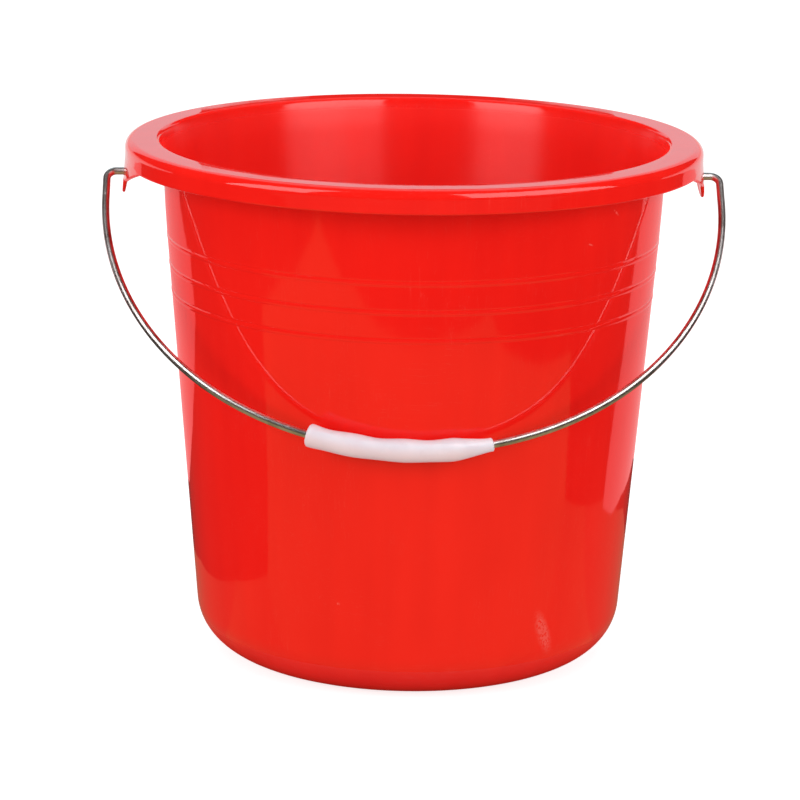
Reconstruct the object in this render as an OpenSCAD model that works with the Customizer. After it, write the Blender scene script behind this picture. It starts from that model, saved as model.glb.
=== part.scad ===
// Household wash bucket with a swinging wire bail and a finger-grip sleeve.
// Units: millimetres.
// Frame: origin at the centre of the base, on the surface that the bucket stands on.
// +Z is up. The bail swings about an axis parallel to X and rests at the -Y side.

/* [Bucket] */
// Outside diameter of the rim
rim_d = 300; // [298:1:304]
// Height from the floor to the flat top of the rim
height = 272; // [262:1:282]
// Diameter at the inner edge of the rim's flat top
mouth_d = 268.6; // [267:0.1:270]
// Outer radius that the main cone of the wall would have at the floor
cone_r0 = 110.7; // [109:0.1:111]
// Growth of the outer radius per millimetre of height
cone_k = 0.0797; // [0.076:0.0001:0.081]
// Thickness of the side wall
wall_t = 2; // [1.6:0.1:2.4]
// Thickness of the floor plate
floor_t = 2.4; // [2:0.1:3]
// Outer radius of the rounded bottom edge
corner_r = 27; // [20:1:28]

/* [Rim] */
// Depth of the rim skirt, from the flat top to its lower edge
skirt_h = 12; // [11:0.1:13]
// Thickness of the skirt
skirt_t = 2; // [1.8:0.1:2.2]
// Thickness of the flat part of the rim
flange_t = 2.2; // [1.8:0.1:2.6]
// Radius of the rounded outer edge of the rim
roll_r = 4.6; // [3.5:0.1:5]
// Radius of the lip between the flat top and the flared mouth
lip_r = 2.5; // [2:0.1:3]
// Radius of the hollow's corner where the rim leaves the wall
under_fillet = 8; // [6:0.5:8.5]

/* [Wall rings] */
// Distance from the rim's top down to the first moulded ring
ring1_drop = 50.2; // [47:0.1:52]
// Distance from the rim's top down to the second moulded ring
ring2_drop = 64.9; // [62:0.1:67]
// Distance from the rim's top down to the third moulded ring
ring3_drop = 79.3; // [77:0.1:83]
// How far a ring stands out of the wall
ring_proud = 0.2; // [0.1:0.05:0.4]
// Half width of a ring where it leaves the wall
ring_w = 1.3; // [1:0.1:1.8]

/* [Foot] */
// Radius at the inside of the foot ring
foot_r_in = 78; // [72:1:81]
// Height of the base plate above the foot ring's lower edge
foot_h = 1.6; // [1:0.1:2.4]

/* [Ears] */
// Distance from the rim's top down to the pivot axis of the bail
pivot_drop = 18.9; // [18.5:0.1:19.5]
// Radius of the round tab about the pivot hole
ear_r = 11; // [9.5:0.1:11.5]
// Half width of the ear's shoulders where they leave the skirt
shoulder_w = 52; // [44:1:54]
// Half width of the ear where the shoulders end
shoulder_w2 = 21; // [16:1:22]
// How far the shoulders come down below the skirt
shoulder_h = 9.3; // [6:0.1:9.5]

/* [Bail] */
// Diameter of the bail wire
wire_d = 4; // [3.5:0.1:4.2]
// Half width of the bow, at the wire's centre
bow_w = 159.5; // [158:0.1:162]
// Distance from the pivot axis to the bow's widest place
bow_drop = 18.3; // [15:0.1:20]
// How much flatter than a half circle the bow is at its lowest point
bow_flat = 5.5; // [3:0.1:6.5]
// Bend radius of the two elbows beside the ears
elbow_r = 5; // [4.5:0.1:5.5]
// Where the inward stub ends and the inner hook begins, from the middle plane
stub_x = 143.5; // [143:0.1:144]
// Bend radius of the inner hooks
hook_r = 4; // [3.5:0.1:4]
// Distance from the pivot axis to the hook's tip
hook_len = 10; // [8:0.1:11]
// Radial play of the wire in the ear hole
pivot_play = 0.08; // [0.03:0.01:0.1]

/* [Grip] */
// Outside radius of the grip sleeve
grip_r = 5.9; // [5.6:0.1:6.2]
// Radial play between the wire and the grip's bore
grip_play = 0.1; // [0.05:0.01:0.1]
// Angle along the bow from the bottom to the grip's left end
grip_a0 = -19.2; // [-20:0.1:-19]
// Angle along the bow from the bottom to where the grip's taper starts
grip_a1 = 6.6; // [6.4:0.1:7]
// Length of the tapered right end
taper_len = 19; // [17:0.5:20]
// Radius of the grip at its narrow right end
taper_r = 3.4; // [3.2:0.1:4]
// Depth of the finger hollows
wave_h = 0.8; // [0.5:0.1:1.2]
// Angle along the bow between two finger hollows
wave_pitch = 8.8; // [8.5:0.1:9]
// Gap between the resting grip and the bucket's wall
rest_gap = 0.5; // [0.4:0.1:1]

/* [Hidden] */
fine = 180;
mid = 72;
red = [0.90, 0.13, 0.10];
steel = [0.70, 0.69, 0.68];
milky = [0.93, 0.90, 0.91];

rim_r = rim_d / 2;
mouth_r = mouth_d / 2;
wire_r = wire_d / 2;
pivot_z = height - pivot_drop;
ring1_z = height - ring1_drop;
ring2_z = height - ring2_drop;
ring3_z = height - ring3_drop;
skirt_z = height - skirt_h;

// Main cone of the wall and the slightly steeper collar above the first ring
function cone_r(z) = cone_r0 + cone_k * z;
collar_k = 0.066;
function wall_r(z) = z < ring1_z ? cone_r(z) : cone_r(ring1_z) + collar_k * (z - ring1_z);

// Mouth: a small lip arc, then a wide flare arc that runs out along the collar's inner face
collar_lean = atan(collar_k);
collar_in = wall_r(height) - wall_t;
lip_a = 20;
lip_x = mouth_r - lip_r * cos(lip_a);
lip_z = height - lip_r + lip_r * sin(lip_a);
flare_r = ((lip_x - collar_in) * cos(collar_lean) + (height - lip_z) * sin(collar_lean))
          / (1 - cos(lip_a - collar_lean));
flare_x = lip_x + flare_r * cos(lip_a);
flare_z = lip_z - flare_r * sin(lip_a);
flare_low = flare_z + flare_r * sin(collar_lean);

// Rounded bottom edge: a circle tangent to the floor and to the cone
lean = atan(cone_k);
corner_x = cone_r0 + cone_k * corner_r - corner_r / cos(lean);
corner_tz = corner_r * (1 - sin(lean));
in_r = corner_r - wall_t;
in_z = foot_h + floor_t + in_r;
in_x = cone_r0 + cone_k * in_z - wall_t / cos(lean) - in_r / cos(lean);
in_tz = in_z - in_r * sin(lean);

// The ear's tab, as radii at the skirt, at the pivot and at the tip
tip_z = pivot_z - ear_r;
ear_side_z = skirt_z + 1.2;
ear_top_z = skirt_z + 4.4;

// The bow is three tangent arcs: a flatter one at the bottom and two tighter ones beside it
bow_b = 32;
bow_d = bow_flat / (sin(bow_b) + cos(bow_b) - 1);
side_r = bow_w - bow_d * sin(bow_b);
bow_r = side_r + bow_d;
bow_c = bow_drop - bow_d * cos(bow_b);

// Lean of the bail at rest: the grip lies rest_gap off the wall
bow_low = bow_c + bow_r;
hang = grip_r + rest_gap;
function gap_at(a) = bow_low * sin(a) - cone_r(pivot_z - bow_low * cos(a));
function solve_lean(lo, hi, n) =
  n == 0 ? (lo + hi) / 2 :
  gap_at((lo + hi) / 2) * cos(lean) > hang ? solve_lean(lo, (lo + hi) / 2, n - 1)
                                           : solve_lean((lo + hi) / 2, hi, n - 1);
bail_lean = solve_lean(20, 70, 24);

// ---- helpers ----

// Filled half-profile of the bucket's outside, below the rim
module outer_profile() {
  polygon([[0, corner_tz], [cone_r(corner_tz), corner_tz], [cone_r(ring1_z), ring1_z],
           [wall_r(height - 1), height - 1], [0, height - 1]]);
  square([corner_x, corner_tz + 1]);
  intersection() {
    translate([corner_x, corner_r]) circle(r = corner_r);
    square([200, corner_r]);
  }
}

// Filled half-profile of the hollow inside, with the rounded lip at the mouth
module inner_profile() {
  polygon([[0, in_tz], [cone_r(in_tz) - wall_t / cos(lean), in_tz],
           [cone_r(ring1_z) - wall_t, ring1_z], [collar_in, height], [collar_in, height + 1],
           [0, height + 1]]);
  translate([0, foot_h + floor_t]) square([in_x, in_r]);
  intersection() {
    translate([in_x, in_z]) circle(r = in_r);
    translate([0, foot_h + floor_t]) square([200, in_r]);
  }
  difference() {
    translate([collar_in - 3, flare_low]) square([lip_x - collar_in + 3, lip_z - flare_low]);
    translate([flare_x, flare_z]) circle(r = flare_r, $fn = 360);
  }
  difference() {
    translate([collar_in - 3, lip_z]) square([mouth_r - collar_in + 3, height - lip_z + 1]);
    translate([mouth_r, height - lip_r]) circle(r = lip_r);
  }
}

// Rim: flat top, rounded outer edge, hanging skirt and the hollow under it
module rim_profile() {
  under_z = height - flange_t;
  under_r = wall_r(under_z - under_fillet) + under_fillet;
  difference() {
    union() {
      translate([collar_in, height - skirt_h])
        square([rim_r - roll_r - collar_in, skirt_h]);
      translate([mouth_r, skirt_z + skirt_t / 2])
        square([rim_r - mouth_r, skirt_h - roll_r - skirt_t / 2]);
      translate([rim_r - roll_r, height - roll_r]) circle(r = roll_r);
    }
    // hollow between the skirt and the wall
    translate([100, skirt_z - 1])
      square([rim_r - skirt_t - 100, under_z - under_fillet - skirt_z + 1]);
    translate([under_r, skirt_z - 1])
      square([rim_r - skirt_t - under_r, under_z - 1.5 - skirt_z + 1]);
    translate([under_r, skirt_z - 1])
      square([rim_r - skirt_t - 1.5 - under_r, under_z - skirt_z + 1]);
    translate([rim_r - skirt_t - 1.5, under_z - 1.5]) circle(r = 1.5);
    translate([under_r, under_z - under_fillet]) circle(r = under_fillet);
  }
  translate([rim_r - skirt_t / 2, skirt_z + skirt_t / 2]) circle(r = skirt_t / 2);
}

// A low rounded ring on the wall
module ring_bead(z) {
  b = (ring_w * ring_w + ring_proud * ring_proud) / (2 * ring_proud);
  rotate_extrude($fn = fine) intersection() {
    translate([wall_r(z) + ring_proud - b, z]) circle(r = b, $fn = 360);
    translate([wall_r(z) - 0.8, z - 2]) square([2, 4]);
  }
}

// Both ears: the skirt's wall carried down, thinning and leaning out a little
module ear_stock() {
  intersection() {
    rotate_extrude($fn = fine)
      polygon([[rim_r - skirt_t, ear_top_z], [rim_r - 0.12, ear_top_z], [rim_r + 1.6, tip_z - 1],
               [rim_r + 0.3, tip_z - 1], [rim_r - 1.6, pivot_z]]);
    rotate([90, 0, 90]) linear_extrude(height = 400, center = true)
      ear_outline();
  }
}

// Outline of an ear seen along the pivot axis
module ear_outline() {
  low = skirt_z - shoulder_h;
  polygon([[-shoulder_w - 3, ear_side_z], [-shoulder_w, skirt_z], [-shoulder_w2, low + 0.6],
           [-shoulder_w2 + 4, low], [shoulder_w2 - 4, low], [shoulder_w2, low + 0.6],
           [shoulder_w, skirt_z], [shoulder_w + 3, ear_side_z], [0, ear_top_z]]);
  translate([0, pivot_z]) circle(r = ear_r, $fn = mid);
}

// The bail's own frame: X along the pivot axis, -Z down the bow, leant to the front
module bail_frame() {
  translate([0, 0, pivot_z]) rotate([-bail_lean, 0, 0]) children();
}

// An arc of the bow, as a tube of radius r: arc radius ar, from angle a0 to a1 off straight down
module bow_tube(r, ar, a0, a1, n) {
  rotate([90, 0, 0]) rotate([0, 0, a0 - 90])
    rotate_extrude(angle = a1 - a0, $fn = n) translate([ar, 0]) circle(r = r, $fn = 48);
}

// Places children at angle a along the bottom arc, with +X along the wire
module on_bow(a) {
  translate([0, 0, -bow_c]) rotate([0, -a, 0]) translate([0, 0, -bow_r]) children();
}

// ---- sub-parts ----

// One-piece moulded bucket: wall, floor, foot ring, rim, skirt and the two ears
module bucket_shell() {
  color(red) difference() {
    union() {
      difference() {
        union() {
          rotate_extrude($fn = fine) outer_profile($fn = 96);
          ring_bead(ring1_z);
          ring_bead(ring2_z);
          ring_bead(ring3_z);
          rotate_extrude($fn = fine) rim_profile($fn = 48);
          ear_stock();
        }
        rotate_extrude($fn = fine) inner_profile($fn = 96);
        // recess inside the foot ring
        rotate_extrude($fn = fine)
          polygon([[0, -1], [foot_r_in + 0.6, -1], [foot_r_in, 0], [foot_r_in - foot_h, foot_h],
                   [0, foot_h]]);
      }
      // moulding gate mark under the floor
      translate([0, 0, foot_h - 0.7]) cylinder(r = 2.2, h = 1.2, $fn = mid);
    }
    // pivot holes
    for (s = [-1, 1]) translate([s * (rim_r - 2), 0, pivot_z]) rotate([0, 90, 0])
      cylinder(r = wire_r + pivot_play, h = 16, center = true, $fn = mid);
  }
}

// One side of the bail: side arc, leg, elbow, stub through the ear, inner hook
module bail_end() {
  // the side arc is drawn finer by a hair, so it ends inside the bow and inside the leg
  translate([bow_w - side_r, 0, -bow_drop])
    bow_tube(wire_r - 0.02, side_r, bow_b - 0.9, 90.6, fine);
  translate([bow_w, 0, -bow_drop]) cylinder(r = wire_r, h = bow_drop - elbow_r, $fn = 48);
  translate([bow_w - elbow_r, 0, -elbow_r]) rotate([90, 0, 0])
    rotate_extrude(angle = 90, $fn = mid) translate([elbow_r, 0]) circle(r = wire_r, $fn = 48);
  translate([stub_x, 0, 0]) rotate([0, 90, 0])
    cylinder(r = wire_r, h = bow_w - elbow_r - stub_x, $fn = 48);
  // the inner hook turns back, away from the bow
  translate([stub_x, 0, hook_r]) rotate([90, 0, 0]) rotate([0, 0, 180])
    rotate_extrude(angle = 90, $fn = mid) translate([hook_r, 0]) circle(r = wire_r, $fn = 48);
  translate([stub_x - hook_r, 0, hook_r])
    cylinder(r = wire_r, h = hook_len - hook_r, $fn = 48);
}

// Bent steel wire, one length from hook to hook
module bail_wire() {
  color(steel) bail_frame() {
    translate([0, 0, -bow_c]) bow_tube(wire_r, bow_r, -bow_b, bow_b, 2 * fine);
    bail_end();
    mirror([1, 0, 0]) bail_end();
  }
}

// Finger-grip sleeve on the wire, with hollows on the side towards the pivots
module grip() {
  wave_r = 48;
  color(milky) bail_frame() difference() {
    union() {
      translate([0, 0, -bow_c]) bow_tube(grip_r, bow_r, grip_a0 + 0.6, grip_a1, 2 * fine);
      on_bow(grip_a0 + 0.6) rotate([0, -90, 0]) rotate_extrude($fn = 48)
        intersection() {
          union() {
            square([grip_r - 1.6, 1.6]);
            translate([grip_r - 1.6, 0]) circle(r = 1.6, $fn = 48);
          }
          square([20, 20]);
        }
      on_bow(grip_a1 + 3.2) translate([-taper_len / 2 - 0.6, 0, 0.2]) rotate([0, 90, 0])
        cylinder(r1 = grip_r - 0.1, r2 = taper_r, h = taper_len, $fn = 48);
    }
    // bore for the wire
    translate([0, 0, -bow_c])
      bow_tube(wire_r + grip_play, bow_r, grip_a0 - 3, grip_a1 + 12, 2 * fine);
    // finger hollows
    for (i = [-1.5, -0.5, 0.5])
      on_bow(-2.4 + i * wave_pitch) translate([0, 0, grip_r - wave_h + wave_r]) rotate([90, 0, 0])
        cylinder(r = wave_r, h = 40, center = true, $fn = 2 * fine);
  }
}

bucket_shell();
bail_wire();
grip();
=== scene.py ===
"""Looks of the wash bucket: red moulded body, bent steel bail, finger-grip sleeve, soft studio light."""
import math

import bmesh
import bpy
from mathutils import Matrix, Vector


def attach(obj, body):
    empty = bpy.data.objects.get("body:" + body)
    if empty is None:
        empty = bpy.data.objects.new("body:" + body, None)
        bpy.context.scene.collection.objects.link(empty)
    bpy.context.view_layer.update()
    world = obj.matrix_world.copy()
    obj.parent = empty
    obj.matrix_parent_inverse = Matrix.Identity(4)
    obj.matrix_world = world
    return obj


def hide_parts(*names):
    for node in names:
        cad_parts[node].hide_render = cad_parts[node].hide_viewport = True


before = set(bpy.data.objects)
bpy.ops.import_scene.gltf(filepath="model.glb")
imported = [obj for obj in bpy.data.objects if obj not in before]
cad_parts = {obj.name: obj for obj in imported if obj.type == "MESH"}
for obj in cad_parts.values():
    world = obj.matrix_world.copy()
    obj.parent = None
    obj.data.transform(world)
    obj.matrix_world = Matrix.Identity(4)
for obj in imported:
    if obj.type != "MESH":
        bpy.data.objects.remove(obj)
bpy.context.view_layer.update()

MM = 0.001

# ---- the object's own sizes, in millimetres and degrees, as the CAD part has them ----
H = 272.0
RIM_R = 150.0
MOUTH_R = 134.3
# outer wall: radius at the ground, growth of the radius per mm of height below and above the top ring
CONE_R0, CONE_K, COLLAR_K = 110.7, 0.0797, 0.066
WALL_T, FLOOR_T = 2.0, 2.4
FOOT_H, FOOT_R = 1.6, 78.0
CORNER_R = 27.0
RINGS = (192.7, 207.1, 221.8)
RING_PROUD, RING_W = 0.2, 1.3
LIP_R, LIP_A, UNDER_R = 2.5, 20.0, 8.0
SKIRT_H, SKIRT_T, FLANGE_T, ROLL_R = 12.0, 2.0, 2.2, 4.6
SKIRT_Z = H - SKIRT_H
PIVOT_Z = H - 18.9
HOLE_R = 2.08
EAR_R, SHOULDER_W, SHOULDER_W2, SHOULDER_H = 11.0, 52.0, 21.0, 9.3
SHOULDER_RISE, SHOULDER_STEP = 0.6, 4.0
EAR_CREASE, EAR_CREASE_W, EAR_LEAN = 4.4, 55.0, 0.0754
TIP_Z = PIVOT_Z - EAR_R
LEAN = math.atan(CONE_K)
COLLAR_LEAN = math.atan(COLLAR_K)

# bail wire: half width, drop of the bow's ends, flattening of the bow, half angle of its flatter middle
BOW_W, BOW_DROP, BOW_FLAT, BOW_B = 159.5, 18.3, 5.5, math.radians(32)
ELBOW_R, STUB_X, HOOK_R, HOOK_LEN, WIRE_R = 5.0, 143.5, 4.0, 10.0, 2.0
WIRE_BREAK = 0.45
BOW_D = BOW_FLAT / (math.sin(BOW_B) + math.cos(BOW_B) - 1)
SIDE_R = BOW_W - BOW_D * math.sin(BOW_B)
BOW_R = SIDE_R + BOW_D
BOW_C = BOW_DROP - BOW_D * math.cos(BOW_B)

# grip: angles along the bow from its middle, radii, and the finger hollows
GRIP_A0, GRIP_A1, GRIP_R, TAPER_R, TAPER_LEN = -19.2, 6.6, 5.9, 3.4, 19.0
GRIP_A2 = GRIP_A1 + 3.2 + math.degrees((TAPER_LEN / 2 - 0.6) / BOW_R)
GRIP_ROUND_0, GRIP_ROUND_2 = 2.0, 0.8
BORE_R, BORE_MOUTH_R = 2.1, 2.5
WAVE_H, WAVE_BACK_H, WAVE_PITCH, WAVE_MID = 0.75, 0.35, 8.8, -2.4
GRIP_GAP = 0.5


def wall_r(z):
    if z < RINGS[2]:
        return CONE_R0 + CONE_K * z
    return CONE_R0 + CONE_K * RINGS[2] + COLLAR_K * (z - RINGS[2])


def bail_lean():
    """Angle from straight down at which the hanging bail meets the wall."""
    low, high = 20.0, 70.0
    for _ in range(40):
        a = math.radians((low + high) / 2)
        reach = (BOW_C + BOW_R) * math.sin(a) - wall_r(PIVOT_Z - (BOW_C + BOW_R) * math.cos(a))
        if reach * math.cos(LEAN) > GRIP_R + GRIP_GAP:
            high = (low + high) / 2
        else:
            low = (low + high) / 2
    return math.radians((low + high) / 2)


BAIL = Matrix.Translation((0, 0, PIVOT_Z * MM)) @ Matrix.Rotation(-bail_lean(), 4, "X")


# ---- small helpers ----
def smooth(t):
    t = min(max(t, 0.0), 1.0)
    return t * t * (3 - 2 * t)


def arc(cx, cz, r, a0, a1, n):
    """n + 1 points of a circle in the (radius, height) plane, angles in degrees."""
    out = []
    for i in range(n + 1):
        a = math.radians(a0 + (a1 - a0) * i / n)
        out.append((cx + r * math.cos(a), cz + r * math.sin(a)))
    return out


def new_object(name, bm, material, smooth_angle=38):
    bmesh.ops.recalc_face_normals(bm, faces=bm.faces)
    mesh = bpy.data.meshes.new(name)
    bm.to_mesh(mesh)
    bm.free()
    for p in mesh.polygons:
        p.use_smooth = True
    mesh.set_sharp_from_angle(angle=math.radians(smooth_angle))
    mesh.materials.append(material)
    ob = bpy.data.objects.new(name, mesh)
    bpy.context.scene.collection.objects.link(ob)
    return ob


# ---- node helpers ----
class Nodes:
    """A short way to write a procedural material."""

    def __init__(self, name):
        self.mat = bpy.data.materials.new(name)
        self.mat.use_nodes = True
        self.tree = self.mat.node_tree
        self.bsdf = self.tree.nodes["Principled BSDF"]
        self.pos = self.add("ShaderNodeTexCoord").outputs["Object"]

    def add(self, kind, **values):
        node = self.tree.nodes.new(kind)
        for k, v in values.items():
            setattr(node, k, v)
        return node

    def link(self, a, b):
        self.tree.links.new(a, b)

    def mapped(self, scale=(1, 1, 1), rot=(0, 0, 0), loc=(0, 0, 0), src=None):
        n = self.add("ShaderNodeMapping")
        n.inputs["Scale"].default_value = scale
        n.inputs["Rotation"].default_value = [math.radians(a) for a in rot]
        n.inputs["Location"].default_value = loc
        self.link(src or self.pos, n.inputs["Vector"])
        return n.outputs["Vector"]

    def noise(self, scale, detail=2.0, rough=0.5, vec=None):
        n = self.add("ShaderNodeTexNoise")
        n.inputs["Scale"].default_value = scale
        n.inputs["Detail"].default_value = detail
        n.inputs["Roughness"].default_value = rough
        self.link(vec or self.pos, n.inputs["Vector"])
        return n.outputs["Fac"]

    def ramp(self, fac, stops):
        """stops: (position, grey or colour)."""
        n = self.add("ShaderNodeValToRGB")
        cr = n.color_ramp
        while len(cr.elements) < len(stops):
            cr.elements.new(0.5)
        for e, (p, c) in zip(cr.elements, stops):
            e.position = p
            e.color = (c, c, c, 1) if not isinstance(c, tuple) else (*c, 1)
        self.link(fac, n.inputs["Fac"])
        return n.outputs["Color"]

    def math(self, op, a, b=None, clamp=False):
        n = self.add("ShaderNodeMath", operation=op, use_clamp=clamp)
        for i, v in enumerate((a, b)):
            if v is None:
                continue
            if isinstance(v, (int, float)):
                n.inputs[i].default_value = v
            else:
                self.link(v, n.inputs[i])
        return n.outputs[0]

    def mix(self, fac, a, b):
        n = self.add("ShaderNodeMix", data_type="RGBA")
        for sock, v in ((n.inputs["Factor"], fac), (n.inputs["A"], a), (n.inputs["B"], b)):
            if isinstance(v, tuple):
                sock.default_value = (*v, 1)
            elif isinstance(v, (int, float)):
                sock.default_value = v
            else:
                self.link(v, sock)
        return n.outputs["Result"]

    def bump(self, height, strength, distance, normal=None):
        n = self.add("ShaderNodeBump")
        n.inputs["Strength"].default_value = strength
        n.inputs["Distance"].default_value = distance
        self.link(height, n.inputs["Height"])
        if normal is not None:
            self.link(normal, n.inputs["Normal"])
        return n.outputs["Normal"]

    def xyz(self, vec=None):
        n = self.add("ShaderNodeSeparateXYZ")
        self.link(vec or self.pos, n.inputs[0])
        return n.outputs

    def range(self, v, a, b, c=0.0, d=1.0):
        """Smooth step of v from a to b, giving c to d."""
        n = self.add("ShaderNodeMapRange", interpolation_type="SMOOTHSTEP")
        for i, x in enumerate((a, b, c, d)):
            n.inputs[i + 1].default_value = x
        self.link(v, n.inputs[0])
        return n.outputs[0]

    def scratches(self, seed, along, rot, threshold):
        """Thin straight marks: stretched noise kept only at its narrow crests."""
        a = self.mapped(scale=along, rot=rot, loc=(seed, seed * 0.7, -seed))
        fine = self.noise(1.0, detail=1.0, vec=a)
        line = self.ramp(fine, [(threshold, 0.0), (threshold + 0.012, 1.0), (threshold + 0.03, 0.0)])
        where = self.ramp(self.noise(26.0, detail=1.0, vec=self.mapped(loc=(seed, 3, 1))),
                          [(0.5, 0.0), (0.62, 1.0)])
        return self.math("MULTIPLY", line, where)


# a few single marks on the outside: turn about the axis in degrees, 0 to the right and -90 to the front,
# then height, half length and half width in mm, and tilt in degrees
MARKS = ((-41, 250, 4.2, 0.9, 38), (-49, 236, 3.0, 0.7, 20), (-109.5, 52.5, 1.2, 1.2, 0),
         (-54, 32.5, 17.0, 5.2, 68))
MARK_DEPTH = 6.0


def red_plastic(name, bore):
    """The bucket's plastic. bore: the finish inside, from a turned mould core."""
    n = Nodes(name)
    b = n.bsdf
    z = n.xyz()[2]
    cloud = n.noise(9.0, detail=3.0)
    flow = n.noise(1.0, detail=2.0, vec=n.mapped(scale=(60, 60, 7)))
    tone = n.math("ADD", n.math("MULTIPLY", cloud, 0.6), n.math("MULTIPLY", flow, 0.4))
    colour = n.ramp(tone, [(0.36, (0.86, 0.0085, 0.0052)), (0.62, (0.93, 0.0115, 0.0064))])
    marks = n.math("MAXIMUM", n.scratches(3.1, (900, 900, 24), (18, 0, 31), 0.62),
                   n.scratches(8.7, (22, 800, 800), (0, 24, 12), 0.63))
    low_wear = n.range(z, 0.030, 0.0)
    rim_wear = n.range(z, 0.266, 0.2725)
    scuff_noise = n.ramp(n.noise(260.0, detail=4.0, rough=0.7), [(0.54, 0.0), (0.74, 1.0)])
    patch = n.ramp(n.noise(17.0, detail=2.0), [(0.50, 0.0), (0.75, 1.0)])
    scuff = n.math("MULTIPLY", scuff_noise,
                   n.math("ADD", n.math("MULTIPLY", patch, 0.25),
                          n.math("MULTIPLY", n.math("ADD", low_wear, rim_wear), 0.35)), clamp=True)
    worn = n.math("MAXIMUM", n.math("MULTIPLY", marks, 0.30), n.math("MULTIPLY", scuff, 0.5), clamp=True)
    if not bore:
        chips = n.ramp(n.noise(700.0, detail=3.0), [(0.38, 0.0), (0.50, 1.0)])
        for turn, height, half_length, half_width, tilt in MARKS:
            centre = Matrix.Rotation(math.radians(turn), 3, "Z") @ Vector((wall_r(height), 0, height)) * MM
            spot = n.mapped(loc=-centre)
            spot = n.mapped(rot=(0, 0, -turn), src=spot)
            spot = n.mapped(rot=(tilt, 0, 0), src=spot)
            halves = (MARK_DEPTH, half_length, half_width)
            spot = n.mapped(scale=[1 / (half * MM) for half in halves], src=spot)
            length = n.add("ShaderNodeVectorMath", operation="LENGTH")
            n.link(spot, length.inputs[0])
            inside = n.range(length.outputs["Value"], 1.0, 0.3)
            worn = n.math("MAXIMUM", worn, n.math("MULTIPLY", inside, chips))
    paler = n.mix(n.math("MULTIPLY", worn, 0.38), colour, (0.93, 0.15, 0.11))
    n.link(paler, b.inputs["Base Color"])
    rough = n.math("ADD", n.math("MULTIPLY", n.noise(33.0, detail=3.0), 0.04), 0.035)
    rough = n.math("ADD", rough, n.math("MULTIPLY", worn, 0.28), clamp=True)
    if bore:
        # fine turning marks smear the gloss up and down, least of all on the polished flare
        rough = n.math("ADD", rough, n.range(z, 0.2705, 0.2655, 0.06, 0.24), clamp=True)
        b.inputs["Anisotropic"].default_value = 1.0
        b.inputs["Anisotropic Rotation"].default_value = 0.25
        around = n.add("ShaderNodeTangent", direction_type="RADIAL", axis="Z")
        n.link(around.outputs[0], b.inputs["Tangent"])
    n.link(rough, b.inputs["Roughness"])
    b.inputs["IOR"].default_value = 1.49
    swell = n.bump(n.noise(14.0, detail=2.0), 0.30, 0.0010)
    peel = n.bump(n.noise(620.0, detail=2.0), 0.05, 0.00010, swell)
    n.link(n.bump(worn, 0.15, 0.00005, peel), b.inputs["Normal"])
    return n.mat


def drawn_steel():
    """Bright drawn wire, a little blotched and dulled by handling."""
    n = Nodes("drawn_steel")
    b = n.bsdf
    b.inputs["Metallic"].default_value = 1.0
    blotch = n.noise(70.0, detail=4.0, rough=0.65)
    colour = n.ramp(blotch, [(0.30, (0.44, 0.38, 0.35)), (0.52, (0.74, 0.69, 0.68)),
                             (0.75, (0.84, 0.81, 0.80))])
    n.link(colour, b.inputs["Base Color"])
    spots = n.ramp(n.noise(420.0, detail=3.0), [(0.55, 0.0), (0.72, 1.0)])
    dull = n.math("ADD", n.math("MULTIPLY", blotch, 0.12), 0.24)
    n.link(n.math("ADD", n.math("MULTIPLY", spots, 0.16), dull), b.inputs["Roughness"])
    n.link(n.bump(n.noise(900.0, detail=3.0), 0.12, 0.00008), b.inputs["Normal"])
    return n.mat


def milky_plastic():
    """The grip's translucent plastic, with painted red bounce light on the side away from the pivots."""
    n = Nodes("milky_plastic")
    b = n.bsdf
    cloud = n.noise(60.0, detail=3.0)
    # painted bounce light: the outer side of the sleeve, away from the pivots, is tinted as if lit by red
    # light thrown back from the bucket
    away = n.add("ShaderNodeVectorMath", operation="DISTANCE")
    n.link(n.pos, away.inputs[0])
    away.inputs[1].default_value = BAIL @ Vector((0, 0, -BOW_C * MM))
    bounce_side = n.range(away.outputs["Value"], (BOW_R + 1.0) * MM, (BOW_R + 6.5) * MM)
    pale = n.ramp(cloud, [(0.35, (0.75, 0.69, 0.75)), (0.65, (0.84, 0.79, 0.84))])
    colour = n.mix(n.math("MULTIPLY", bounce_side, 0.7), pale, (0.85, 0.56, 0.52))
    grime = n.ramp(n.noise(300.0, detail=4.0, rough=0.7), [(0.60, 0.0), (0.74, 1.0)])
    n.link(n.mix(n.math("MULTIPLY", grime, 0.14), colour, (0.50, 0.42, 0.37)), b.inputs["Base Color"])
    n.link(n.math("ADD", n.math("MULTIPLY", n.noise(150.0, detail=3.0), 0.20), 0.24), b.inputs["Roughness"])
    b.inputs["Subsurface Weight"].default_value = 0.35
    b.inputs["Subsurface Radius"].default_value = (1.0, 0.75, 0.75)
    b.inputs["Subsurface Scale"].default_value = 0.0025
    swell = n.bump(n.noise(90.0, detail=2.0), 0.25, 0.0006)
    n.link(n.bump(n.noise(1400.0, detail=2.0), 0.08, 0.00006, swell), b.inputs["Normal"])
    return n.mat


RED = red_plastic("moulded_red_plastic", False)
RED_BORE = red_plastic("moulded_red_plastic_bore", True)
STEEL, MILKY = drawn_steel(), milky_plastic()


# ---- bucket: one closed lathe whose skirt drops into the two ears ----
def ear_drop(y):
    """How far the skirt's edge lies below its plain level, at y mm beside the pivot."""
    y = abs(y)
    if y >= SHOULDER_W:
        drop = 0.0
    elif y >= SHOULDER_W2:
        drop = (SHOULDER_H - SHOULDER_RISE) * (SHOULDER_W - y) / (SHOULDER_W - SHOULDER_W2)
    elif y >= SHOULDER_W2 - SHOULDER_STEP:
        drop = SHOULDER_H - SHOULDER_RISE * (y - SHOULDER_W2 + SHOULDER_STEP) / SHOULDER_STEP
    else:
        drop = SHOULDER_H
    if y < EAR_R:
        drop = max(drop, SKIRT_Z - PIVOT_Z + math.sqrt(EAR_R * EAR_R - y * y))
    return drop


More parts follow.
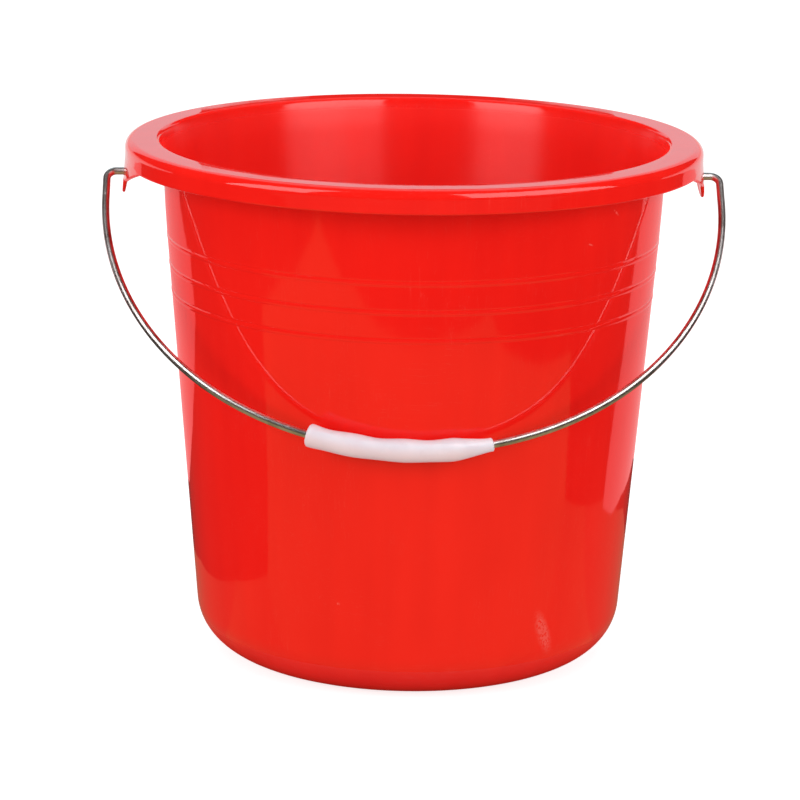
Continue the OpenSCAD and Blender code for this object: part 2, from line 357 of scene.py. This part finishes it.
def crease_z(y):
    """Height of the shallow crease from which the ear leans out, y mm beside the pivot."""
    return SKIRT_Z + EAR_CREASE * max(0.0, 1 - abs(y) / EAR_CREASE_W)


def ear_out(y, z):
    """Outer radius of the skirt and ear at height z."""
    return RIM_R + EAR_LEAN * max(0.0, crease_z(y) - z)


def ear_in(y, z):
    """Inner radius of the skirt and ear at height z."""
    top = crease_z(y)
    if z > PIVOT_Z:
        return RIM_R - SKIRT_T + 0.4 * max(0.0, top - z) / (SKIRT_Z + EAR_CREASE - PIVOT_Z)
    return RIM_R - 1.6 + 1.9 * (PIVOT_Z - z) / (PIVOT_Z - TIP_Z + 1)


def ring_points(z):
    """A low rounded bead on the outside of the wall."""
    bead_r = (RING_W * RING_W + RING_PROUD * RING_PROUD) / (2 * RING_PROUD)
    half = math.degrees(math.asin(0.97 * RING_W / bead_r))
    pts = arc(wall_r(z) + RING_PROUD - bead_r, z, bead_r, -half, half, 8)
    return [(wall_r(z - 1.9), z - 1.9), (wall_r(z - 1.45), z - 1.45)] + pts + [
        (wall_r(z + 1.45), z + 1.45), (wall_r(z + 1.9), z + 1.9)]


def lower_profile():
    """Underside, foot ring and outer wall, from the axis up to the fillet under the rim."""
    cx = CONE_R0 + CONE_K * CORNER_R - CORNER_R / math.cos(LEAN)
    pts = [(1.0, 0.9), (1.9, 0.9), (2.2, 1.1), (2.25, 1.45), (2.6, 1.6)]
    pts += [(r, FOOT_H) for r in (8, 20, 35, 50, 62, 72, FOOT_R - FOOT_H - 0.6)]
    pts += [(FOOT_R - FOOT_H + 0.1, FOOT_H - 0.25), (FOOT_R - 0.25, 0.2), (FOOT_R + 0.2, 0.0)]
    pts += [(r, 0.0) for r in (FOOT_R + 1.5, FOOT_R + 4)]
    pts += arc(cx, CORNER_R, CORNER_R, -90, -math.degrees(LEAN), 26)
    z = 30.0
    while z < RINGS[0] - 3:
        pts.append((wall_r(z), z))
        z += 5.0
    for i, ring in enumerate(RINGS):
        pts += ring_points(ring)
        nxt = RINGS[i + 1] if i < 2 else 262.0
        z = ring + 4.0
        while z < nxt - 3:
            pts.append((wall_r(z), z))
            z += 4.0
    top = H - FLANGE_T
    pts += arc(wall_r(top - UNDER_R) + UNDER_R, top - UNDER_R, UNDER_R, 180, 90, 14)
    pts += [(141.0, top), (144.0, top)]
    pts += arc(RIM_R - SKIRT_T - 1.5, top - 1.5, 1.5, 90, 0, 6)
    return pts


def upper_profile():
    """Rounded outer edge, flat rim, lip, inner wall and floor, ending near the axis."""
    pts = arc(RIM_R - ROLL_R, H - ROLL_R, ROLL_R, 0, 90, 14)
    pts += [(144.0, H), (141.0, H), (138.0, H)]
    # small lip arc, then a wide flare that runs out along the collar's inner face
    lean = math.degrees(COLLAR_LEAN)
    tip = math.radians(LIP_A)
    lip_x, lip_z = MOUTH_R - LIP_R * math.cos(tip), H - LIP_R + LIP_R * math.sin(tip)
    reach = (lip_x - wall_r(H) + WALL_T) * math.cos(COLLAR_LEAN) + (H - lip_z) * math.sin(COLLAR_LEAN)
    flare_r = reach / (1 - math.cos(tip - COLLAR_LEAN))
    flare_x, flare_z = lip_x + flare_r * math.cos(tip), lip_z - flare_r * math.sin(tip)
    pts += arc(MOUTH_R, H - LIP_R, LIP_R, 90, 180 - LIP_A, 12)[:-1]
    pts += arc(flare_x, flare_z, flare_r, 180 - LIP_A, 180 - lean, 14)
    z = 250.0
    while z > RINGS[2] + 2:
        pts.append((wall_r(z) - WALL_T, z))
        z -= 4.0
    pts.append((wall_r(RINGS[2]) - WALL_T, RINGS[2]))
    z = RINGS[2] - 4
    in_r = CORNER_R - WALL_T
    in_z = FOOT_H + FLOOR_T + in_r
    while z > in_z + 4:
        pts.append((wall_r(z) - WALL_T / math.cos(LEAN), z))
        z -= 5.0
    in_x = CONE_R0 + CONE_K * in_z - (WALL_T + in_r) / math.cos(LEAN)
    pts += arc(in_x, in_z, in_r, -math.degrees(LEAN), -90, 24)
    pts += [(r, FOOT_H + FLOOR_T) for r in (80, 70, 55, 40, 25, 12, 2)]
    return pts


PLAIN_STEPS = 80
NEAR_EAR = (11.3, 12, 13, 14.5, 16, 17, 18, 19, 20, 21, 22.5, 24, 27, 30, 34, 38, 42, 46, 50, 52, 54)


def columns():
    """Angles round the bucket: even steps, closer together across the ears."""
    near = set()
    for t in range(-18, 19):
        near.add(round(EAR_R * math.sin(math.radians(t * 5)), 4))
    for y in NEAR_EAR:
        near.update((y, -y))
    near = sorted(near)
    out = []
    for side in (0, 180):
        out += [side + math.degrees(math.asin(y / RIM_R)) for y in near]
        edge = math.degrees(math.asin(near[-1] / RIM_R))
        out += [side + edge + (180 - 2 * edge) * i / PLAIN_STEPS for i in range(1, PLAIN_STEPS)]
    return [math.radians(a) for a in out]


def bucket_mesh():
    """The whole moulding as one closed skin; only the skirt's rows change from column to column."""
    low, top = lower_profile(), upper_profile()
    up_rows = [i / 12 for i in range(1, 13)]
    bm = bmesh.new()
    cols = []
    for a in columns():
        y = RIM_R * math.sin(a)
        zb = SKIRT_Z - ear_drop(y)
        prof = list(low)
        start, end = H - FLANGE_T - 1.5, zb
        thick = ear_out(y, zb + 1) - ear_in(y, zb + 1)
        rt = thick / 2
        z0 = zb + rt
        prof += [(ear_in(y, start + (z0 - start) * t), start + (z0 - start) * t) for t in up_rows]
        mid_r = (ear_out(y, z0) + ear_in(y, z0)) / 2
        prof += arc(mid_r, z0, rt, -180, 0, 8)[1:-1]
        start = H - ROLL_R
        # rows below the crease, then rows above it, so that the crease stays crisp
        fold = max(crease_z(y), z0 + 0.3)
        heights = [z0 + (fold - z0) * t / 9 for t in range(9)]
        heights += [fold + (start - fold) * t / 4 for t in range(4)]
        prof += [(ear_out(y, h), h) for h in heights]
        prof += top
        ca, sa = math.cos(a), math.sin(a)
        cols.append([bm.verts.new((r * ca * MM, r * sa * MM, z * MM)) for r, z in prof])
    n = len(cols)
    for i in range(n):
        a, b = cols[i], cols[(i + 1) % n]
        for j in range(len(a) - 1):
            bm.faces.new((a[j], b[j], b[j + 1], a[j + 1]))
    bounce_side = bm.verts.new((0, 0, 0.9 * MM))
    floor = bm.verts.new((0, 0, (FOOT_H + FLOOR_T) * MM))
    for i in range(n):
        a, b = cols[i], cols[(i + 1) % n]
        bm.faces.new((a[0], bounce_side, b[0]))
        bm.faces.new((a[-1], b[-1], floor))
    return bm


def pivot_cutters():
    """Two plugs that cut the wire's holes through the ears."""
    bm = bmesh.new()
    for s in (-1, 1):
        place = Matrix.Translation((s * RIM_R * MM, 0, PIVOT_Z * MM)) @ Matrix.Rotation(math.pi / 2, 4, "Y")
        bmesh.ops.create_cone(bm, cap_ends=True, segments=64, radius1=HOLE_R * MM, radius2=HOLE_R * MM,
                              depth=12 * MM, matrix=place)
    return bm


bucket = new_object("bucket_moulding", bucket_mesh(), RED)
cutter = new_object("pivot_cutter", pivot_cutters(), RED)
cut = bucket.modifiers.new("pivot_holes", "BOOLEAN")
cut.operation, cut.object, cut.solver = "DIFFERENCE", cutter, "EXACT"
bpy.context.view_layer.objects.active = bucket
with bpy.context.temp_override(object=bucket, active_object=bucket, selected_objects=[bucket]):
    bpy.ops.object.modifier_apply(modifier=cut.name)
bpy.data.objects.remove(cutter)
bucket.data.set_sharp_from_angle(angle=math.radians(38))
# everything that faces the axis above the floor plate, up to the lip, has the bore's finish
bucket.data.materials.append(RED_BORE)
for face in bucket.data.polygons:
    r, height = face.center.xy.length / MM, face.center.z / MM
    face.material_index = int(height > FOOT_H + 1 and r < min(wall_r(height) - 1.0, MOUTH_R - 0.3)
                              or height > 240 and r < MOUTH_R - 0.5 and r < wall_r(height) + 2
                              and face.normal.xy.dot(face.center.xy) < 0)


# ---- bail: one bent wire ----
def bail_path():
    """Centre line of the wire in the bail's own plane: (x, z) in mm, hook tip to hook tip."""
    right = [(BOW_R * math.sin(a), -BOW_C - BOW_R * math.cos(a))
             for a in [BOW_B * i / 40 for i in range(40)]]
    cx = BOW_W - SIDE_R
    right += [(cx + SIDE_R * math.sin(a), -BOW_DROP - SIDE_R * math.cos(a))
              for a in [BOW_B + (math.pi / 2 - BOW_B) * i / 60 for i in range(61)]]
    right += [(BOW_W, -BOW_DROP + (BOW_DROP - ELBOW_R) * i / 5) for i in range(1, 5)]
    right += [(BOW_W - ELBOW_R + ELBOW_R * math.cos(a), -ELBOW_R + ELBOW_R * math.sin(a))
              for a in [math.pi / 2 * i / 12 for i in range(13)]]
    right += [(STUB_X + (BOW_W - ELBOW_R - STUB_X) * (1 - i / 5), 0) for i in range(1, 5)]
    right += [(STUB_X - HOOK_R * math.sin(a), HOOK_R - HOOK_R * math.cos(a))
              for a in [math.pi / 2 * i / 10 for i in range(11)]]
    right += [(STUB_X - HOOK_R, HOOK_R + (HOOK_LEN - HOOK_R) * i / 3) for i in range(1, 4)]
    left = [(-x, z) for x, z in reversed(right[1:])]
    return left + right


def tube(bm, centres, radii, segments):
    """Skins circles along a plane curve.

    centres: (x, z) points; radii: one number per centre, or a function of index and angle."""
    rings = []
    for i, (x, z) in enumerate(centres):
        p, q = centres[max(i - 1, 0)], centres[min(i + 1, len(centres) - 1)]
        d = Vector((q[0] - p[0], 0, q[1] - p[1])).normalized()
        side, up = Vector((0, 1, 0)), Vector((-d.z, 0, d.x))
        ring = []
        for k in range(segments):
            a = 2 * math.pi * k / segments
            r = radii(i, a) if callable(radii) else radii[i]
            out = side * math.sin(a) + up * math.cos(a)
            ring.append(bm.verts.new((Vector((x, 0, z)) + out * r) * MM))
        rings.append(ring)
    for a, b in zip(rings, rings[1:]):
        for k in range(segments):
            m = (k + 1) % segments
            bm.faces.new((a[k], b[k], b[m], a[m]))
    return rings


def wire_mesh():
    """The wire as a tube, its sheared ends with the edge just broken."""
    path = bail_path()
    first, last = path[0], path[-1]
    path = [first, (first[0], first[1] - 0.15), (first[0], first[1] - WIRE_BREAK)] + path[1:]
    path = path[:-1] + [(last[0], last[1] - WIRE_BREAK), (last[0], last[1] - 0.15), last]
    radii = [WIRE_R] * len(path)
    radii[0] = radii[-1] = WIRE_R - WIRE_BREAK
    radii[1] = radii[-2] = WIRE_R - 0.15
    bm = bmesh.new()
    rings = tube(bm, path, radii, 32)
    for ring in (rings[0], rings[-1]):
        bm.faces.new(ring)
    bm.transform(BAIL)
    return bm


wire = new_object("bail_wire_drawn", wire_mesh(), STEEL, 50)


# ---- grip: a sleeve with finger hollows, hollow where the wire runs through ----
def grip_radius(deg, a):
    """Outside radius of the sleeve; a = 0 is the side towards the pivots."""
    mm = math.radians(deg - GRIP_A0) * BOW_R
    end = math.radians(GRIP_A2 - deg) * BOW_R
    r = GRIP_R
    if deg > GRIP_A1 - 1.5:
        t = smooth((deg - GRIP_A1 + 1.5) / (GRIP_A2 - GRIP_A1 + 1.5))
        r += (TAPER_R - GRIP_R) * t
    phase = (deg - WAVE_MID) / WAVE_PITCH
    wave = 0.5 - 0.5 * math.cos(2 * math.pi * phase)
    fade = smooth((GRIP_A1 + 3 - deg) / 4) * smooth(mm / 9)
    r -= WAVE_H * wave * fade * max(0.0, math.cos(a)) ** 0.8
    r -= WAVE_BACK_H * wave * fade * max(0.0, -math.cos(a))
    for d, size in ((mm, GRIP_ROUND_0), (end, GRIP_ROUND_2)):
        if d < size:
            r -= size * (1 - math.sqrt(max(0.0, 1 - (1 - d / size) ** 2)))
    return r


def grip_mesh():
    """The sleeve: outer skin, bore and the two ring-shaped ends."""
    def rounding(size, share):
        """Degrees along the bow from the very end, at a share (0 to 1) of its quarter-round."""
        return math.degrees(size * (1 - math.cos(math.pi / 2 * share)) / BOW_R)

    stations = [GRIP_A0 + rounding(GRIP_ROUND_0, i / 7) for i in range(8)]
    last = GRIP_A2 - math.degrees(GRIP_ROUND_2 / BOW_R)
    steps = 150
    stations += [stations[7] + (last - stations[7]) * i / steps for i in range(1, steps)]
    stations += [GRIP_A2 - rounding(GRIP_ROUND_2, i / 5) for i in range(5, -1, -1)]

    def at(deg):
        t = math.radians(deg)
        return (BOW_R * math.sin(t), -BOW_C - BOW_R * math.cos(t))

    bm = bmesh.new()
    outer = tube(bm, [at(d) for d in stations], lambda i, a: grip_radius(stations[i], a), 64)
    bore_st = [stations[0] + (stations[-1] - stations[0]) * i / 40 for i in range(41)]
    bore_r = [BORE_R] * 41
    bore_r[0] = bore_r[-1] = BORE_MOUTH_R
    bore = tube(bm, [at(d) for d in bore_st], bore_r, 64)
    for a, b in ((outer[0], bore[0]), (bore[-1], outer[-1])):
        for k in range(64):
            m = (k + 1) % 64
            bm.faces.new((a[k], a[m], b[m], b[k]))
    bm.transform(BAIL)
    return bm


grip = new_object("grip_sleeve", grip_mesh(), MILKY, 50)

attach(bucket, "bucket")
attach(wire, "bail")
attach(grip, "bail")
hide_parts("bucket_shell")
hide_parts("bail_wire")
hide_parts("grip")


# ---- stage ----
def emitter(name, colour, strength):
    mat = bpy.data.materials.new(name)
    mat.use_nodes = True
    tree = mat.node_tree
    tree.nodes.remove(tree.nodes["Principled BSDF"])
    e = tree.nodes.new("ShaderNodeEmission")
    e.inputs["Color"].default_value = (*colour, 1)
    e.inputs["Strength"].default_value = strength
    tree.links.new(e.outputs[0], tree.nodes["Material Output"].inputs["Surface"])
    return mat


def card(name, corners, strength, colour=(1, 1, 1)):
    """A flat glowing card that only shows in reflections. corners in metres."""
    bm = bmesh.new()
    bm.faces.new([bm.verts.new(c) for c in corners])
    mesh = bpy.data.meshes.new(name)
    bm.to_mesh(mesh)
    bm.free()
    mesh.materials.append(emitter(name, colour, strength))
    ob = bpy.data.objects.new(name, mesh)
    bpy.context.scene.collection.objects.link(ob)
    ob.visible_camera = ob.visible_diffuse = ob.visible_shadow = False
    return ob


def ground(name, z, plan, strength, colour=(1, 1, 1)):
    """A level card at height z. plan: its (x, y) corners."""
    card(name, [(x, y, z) for x, y in plan], strength, colour)


def wall(name, x0, x1, y, z0, z1, strength, colour=(1, 1, 1)):
    """An upright card that faces the front."""
    card(name, [(x0, y, z0), (x1, y, z0), (x1, y, z1), (x0, y, z1)], strength, colour)


def softbox(name, a, b, strength):
    """An upright card between the plan points a and b."""
    low, high = SOFTBOX_Z
    card(name, [(*a, low), (*b, low), (*b, high), (*a, high)], strength)


floor_bm = bmesh.new()
bmesh.ops.create_grid(floor_bm, x_segments=1, y_segments=1, size=12.0)
pale = Nodes("pale_floor")
pale.link(pale.ramp(pale.noise(3.0, detail=3.0), [(0.3, (0.50, 0.50, 0.50)), (0.7, (0.52, 0.52, 0.52))]),
          pale.bsdf.inputs["Base Color"])
pale.bsdf.inputs["Roughness"].default_value = 0.9
pale.bsdf.inputs["Emission Color"].default_value = (1, 1, 1, 1)
pale.bsdf.inputs["Emission Strength"].default_value = 0.80
floor_ob = new_object("floor", floor_bm, pale.mat)
floor_ob.location.z = -0.0002
floor_ob.visible_glossy = floor_ob.visible_diffuse = False

BACK_GROUND_Z, FRONT_GROUND_Z = -0.010, -0.012
SOFTBOX_Z = (0.355, 0.95)
BACKDROP_Y = 1.0

# bright ground behind the bucket, seen only as the pale bands down both sides of the gloss
ground("ground_left", BACK_GROUND_Z,
       [(-3.0, 3.0), (-0.83, 0.75), (-0.77, 0.50), (-0.62, 0.37), (-0.40, 0.33), (-0.20, 0.31), (0.0, 0.45),
        (0.0, 3.0)], 1.05, (1.0, 0.38, 0.38))
ground("ground_right", BACK_GROUND_Z,
       [(0.0, 3.0), (0.0, 0.50), (0.23, 0.37), (0.30, 0.20), (0.31, 0.12), (0.34, 0.07), (0.43, 0.12),
        (0.50, 0.17), (0.60, 0.27), (0.72, 0.37), (3.0, 2.6)], 1.05, (1.0, 0.44, 0.44))
# pale wall behind, and below it the two paler strips that the rounded edge of the rim mirrors
wall("backdrop", -0.7, 0.7, BACKDROP_Y, 0.413, 3, 0.76, (0.80, 1.0, 1.06))
wall("backdrop_strip", -3, 3, BACKDROP_Y + 0.001, 0.30, 0.413, 0.80, (1, 0.80, 0.80))
wall("backdrop_low", -3, 3, BACKDROP_Y + 0.002, 0.04, 0.30, 0.90)
# two red cards close behind keep the far middle of the rim red; the near rim looks out between them
DIM_Y, DIM_RED = 0.30, (1, 0.05, 0.04)
DIM_LEFT, DIM_RIGHT, TAB_LEFT, TAB_RIGHT = -0.12, 0.13, -0.055, 0.065
DIM_TOP, DIM_SIDE, TAB_SIDE, TAB_LOW = 0.342, 0.3075, 0.2965, 0.285
card("dim_low", [(x, DIM_Y, z) for x, z in
                 ((TAB_LEFT, TAB_LOW), (TAB_RIGHT, TAB_LOW), (TAB_RIGHT, TAB_SIDE), (DIM_RIGHT, DIM_SIDE),
                  (DIM_RIGHT, DIM_TOP), (DIM_LEFT, DIM_TOP), (DIM_LEFT, DIM_SIDE), (TAB_LEFT, TAB_SIDE))],
     0.60, DIM_RED)
wall("dim_high", DIM_LEFT, DIM_RIGHT, DIM_Y, DIM_TOP + 0.03, 0.50, 0.60, DIM_RED)
# two soft windows close in front, left and right
softbox("softbox_left", (-0.26, -0.35), (-0.65, -0.21), 3.6)
softbox("softbox_right", (0.13, -0.44), (0.48, -0.15), 3.6)
# the lit ground in front and close around the bucket, dimmer and redder towards the back: a field with
# a far-off front edge that reaches out to both sides, then two narrower ones beside and behind
LIT_LEFT, LIT_RIGHT = -0.24, 0.36
LIT_BESIDE_Y, LIT_BEHIND_Y, LIT_END_Y = -0.11, -0.02, 0.22
ground("ground_front", FRONT_GROUND_Z,
       [(-0.64, -0.69), (-0.43, -0.67), (-0.18, -0.62), (0.13, -0.62), (0.36, -0.59), (0.39, -0.48),
        (0.61, -0.18), (0.52, -0.145), (LIT_RIGHT, LIT_BESIDE_Y), (LIT_LEFT, LIT_BESIDE_Y),
        (-0.68, -0.235)], 0.36, (1.0, 0.88, 0.42))
ground("ground_beside", FRONT_GROUND_Z,
       [(LIT_LEFT, LIT_BESIDE_Y), (LIT_RIGHT, LIT_BESIDE_Y), (LIT_RIGHT, LIT_BEHIND_Y),
        (LIT_LEFT, LIT_BEHIND_Y)], 0.34, (1.0, 0.72, 0.38))
ground("ground_behind", FRONT_GROUND_Z,
       [(LIT_LEFT, LIT_BEHIND_Y), (LIT_RIGHT, LIT_BEHIND_Y), (LIT_RIGHT, 0.08), (0.26, LIT_END_Y),
        (-0.13, LIT_END_Y), (-0.20, 0.13)], 0.32, (1.0, 0.52, 0.34))
# the floor that the bucket itself shades: one disc dims the light from below, the other is mirrored
for name, radius, z, colour, strength in (("floor_shade", 0.104, -0.010, (1.0, 0.12, 0.08), 0.14),
                                          ("floor_mirrored", 0.120, -0.011, (1.0, 0.12, 0.06), 0.30)):
    shade_bm = bmesh.new()
    bmesh.ops.create_circle(shade_bm, cap_ends=True, segments=64, radius=radius)
    shade = new_object(name, shade_bm, emitter(name, colour, strength))
    shade.location.z = z
    shade.visible_camera = shade.visible_shadow = False
    shade.visible_diffuse, shade.visible_glossy = name == "floor_shade", name == "floor_mirrored"
# ground farther out, seen only in the skirt, the wire and the grip
ground("ground_far", FRONT_GROUND_Z, [(-1.6, -2.6), (1.6, -2.6), (1.6, -1.0), (-1.6, -1.0)], 0.22,
       (1.0, 0.9, 0.7))
# the dim rest of the room, seen mostly in the bright wire
room_bm = bmesh.new()
bmesh.ops.create_icosphere(room_bm, subdivisions=4, radius=9.0)
room_mesh = bpy.data.meshes.new("room")
room_bm.to_mesh(room_mesh)
room_bm.free()
room_mesh.materials.append(emitter("room", (1.0, 0.90, 0.80), 0.055))
room = bpy.data.objects.new("room", room_mesh)
bpy.context.scene.collection.objects.link(room)
room.visible_camera = room.visible_diffuse = room.visible_shadow = False


def area(name, loc, target, size, watts):
    """A soft square light that doesn't show in the gloss."""
    data = bpy.data.lights.new(name, "AREA")
    data.shape, data.size, data.size_y, data.energy = "RECTANGLE", size, size, watts
    ob = bpy.data.objects.new(name, data)
    bpy.context.scene.collection.objects.link(ob)
    ob.location = loc
    ob.rotation_euler = (Vector(target) - Vector(loc)).to_track_quat("-Z", "Y").to_euler()
    ob.visible_glossy = False
    ob.visible_camera = False
    return ob


area("key_left", (-1.33, -1.02, 0.75), (0, 0, 0.12), 0.9, 11.4)
area("key_right", (1.27, -1.10, 0.75), (0, 0, 0.12), 0.9, 10.4)
area("top", (0, 0.1, 1.6), (0, 0, 0.1), 1.4, 6.5)

world = bpy.data.worlds.new("studio")
bpy.context.scene.world = world
world.use_nodes = True
world.node_tree.nodes["Background"].inputs["Color"].default_value = (1, 1, 1, 1)
world.node_tree.nodes["Background"].inputs["Strength"].default_value = 0.655
world.cycles_visibility.glossy = False

# ---- camera: aimed at a point on the bucket's axis ----
PITCH, ROLL, TURN, DIST = math.radians(14.02), math.radians(0.873), math.radians(1.842), 1.7916
AIM_Z = 0.136
cam_data = bpy.data.cameras.new("camera")
cam_data.sensor_width = 36.0
cam_data.lens = 152.28
cam_data.shift_x, cam_data.shift_y = -0.0134, -0.0105
cam_data.clip_end = 50
cam = bpy.data.objects.new("camera", cam_data)
bpy.context.scene.collection.objects.link(cam)
heading = Matrix.Rotation(-TURN, 3, "Z")
right = heading @ Vector((1, 0, 0))
forward = heading @ Vector((0, math.cos(PITCH), -math.sin(PITCH)))
up = heading @ Vector((0, math.sin(PITCH), math.cos(PITCH)))
cam_right = right * math.cos(ROLL) + up * math.sin(ROLL)
cam_up = up * math.cos(ROLL) - right * math.sin(ROLL)
basis = Matrix((cam_right, cam_up, -forward)).transposed()
cam.matrix_world = Matrix.Translation(Vector((0, 0, AIM_Z)) - forward * DIST) @ basis.to_4x4()
bpy.context.scene.camera = cam
bpy.context.scene.view_settings.view_transform = "Standard"

bpy.context.view_layer.update()
